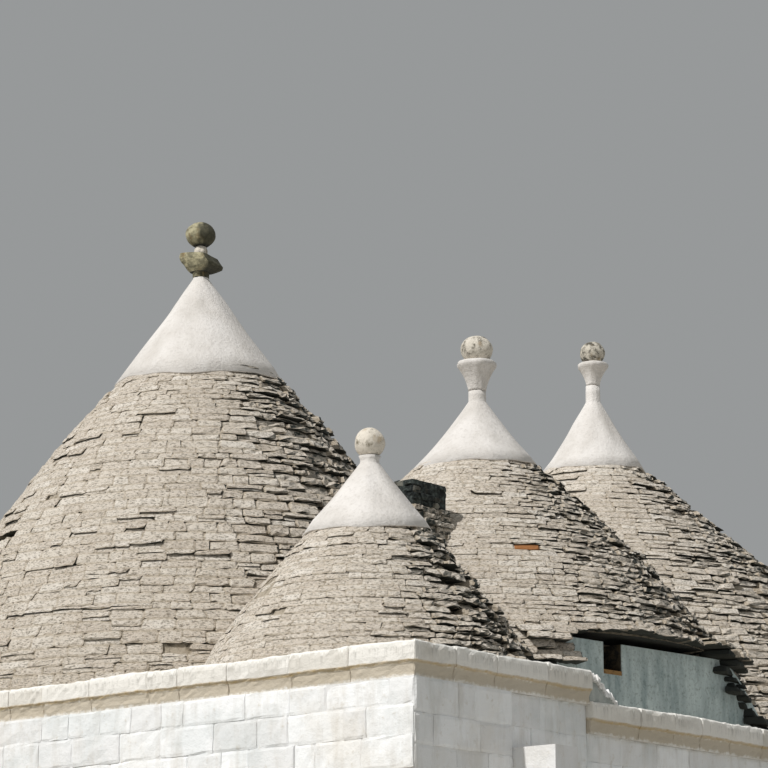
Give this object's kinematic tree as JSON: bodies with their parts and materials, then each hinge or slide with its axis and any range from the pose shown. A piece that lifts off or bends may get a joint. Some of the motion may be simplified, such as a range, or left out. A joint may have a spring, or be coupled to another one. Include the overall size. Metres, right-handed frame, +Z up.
{
  "type": "trullo house",
  "caption": "Dry-stone house with corbelled cone roofs, whitewashed caps with stone ball pinnacles, thick block walls and a small plastered window wall.",
  "frame": {"origin": "on the ground, in the middle of the whole house", "axes": "+Z up, +X along the front wall to the right, +Y back into the house"},
  "size_m": [9.93, 14.06, 8.655],
  "materials": {
    "slate_stone": "split, weathered",
    "lime_plaster": "lime render, brushed",
    "pinnacle_stone": "dressed, weathered",
    "rubble_stone": "rough",
    "whitewashed_block": "limewash",
    "coping_stone": "limewash, weathered"
  },
  "bodies": {
    "root": {"annex_coping": "coping_stone", "annex_end_coping": "coping_stone", "annex_end_wall": "whitewashed_block", "annex_roof": "lime_plaster", "back_ball": "pinnacle_stone", "back_cap": "lime_plaster", "back_capital": "lime_plaster", "back_cone": "slate_stone", "back_coping": "coping_stone", "back_roof_bed": "lime_plaster", "back_wall": "whitewashed_block", "chimney": "rubble_stone", "coping_ramp": "rubble_stone", "corner_back_wall": "whitewashed_block", "corner_ball": "pinnacle_stone", "corner_cap": "lime_plaster", "corner_cone": "slate_stone", "corner_roof_bed": "lime_plaster", "cross_wall_back": "whitewashed_block", "cross_wall_corner": "whitewashed_block", "cross_wall_front": "whitewashed_block", "door_arch": "whitewashed_block", "door_sill": "coping_stone", "drum_window_sill": "pinnacle_stone", "front_coping": "coping_stone", "front_wall_left": "whitewashed_block", "front_wall_right": "whitewashed_block", "great_ball": "pinnacle_stone", "great_cap": "lime_plaster", "great_capital": "pinnacle_stone", "great_cone": "slate_stone", "great_roof_bed": "lime_plaster", "great_seat_stone": "pinnacle_stone", "left_coping_back": "coping_stone", "left_coping_front": "coping_stone", "left_coping_step": "coping_stone", "left_return_wall": "whitewashed_block", "left_wall_back": "whitewashed_block", "left_wall_front": "whitewashed_block", "middle_ball": "pinnacle_stone", "middle_cap": "lime_plaster", "middle_capital": "lime_plaster", "middle_cone": "slate_stone", "middle_drum": "lime_plaster", "middle_roof_bed": "lime_plaster", "pier": "whitewashed_block", "right_coping": "coping_stone", "right_wall_back": "whitewashed_block", "right_wall_front": "whitewashed_block", "spine_wall": "whitewashed_block", "spine_wall_back": "whitewashed_block"}
  },
  "joints": []
}
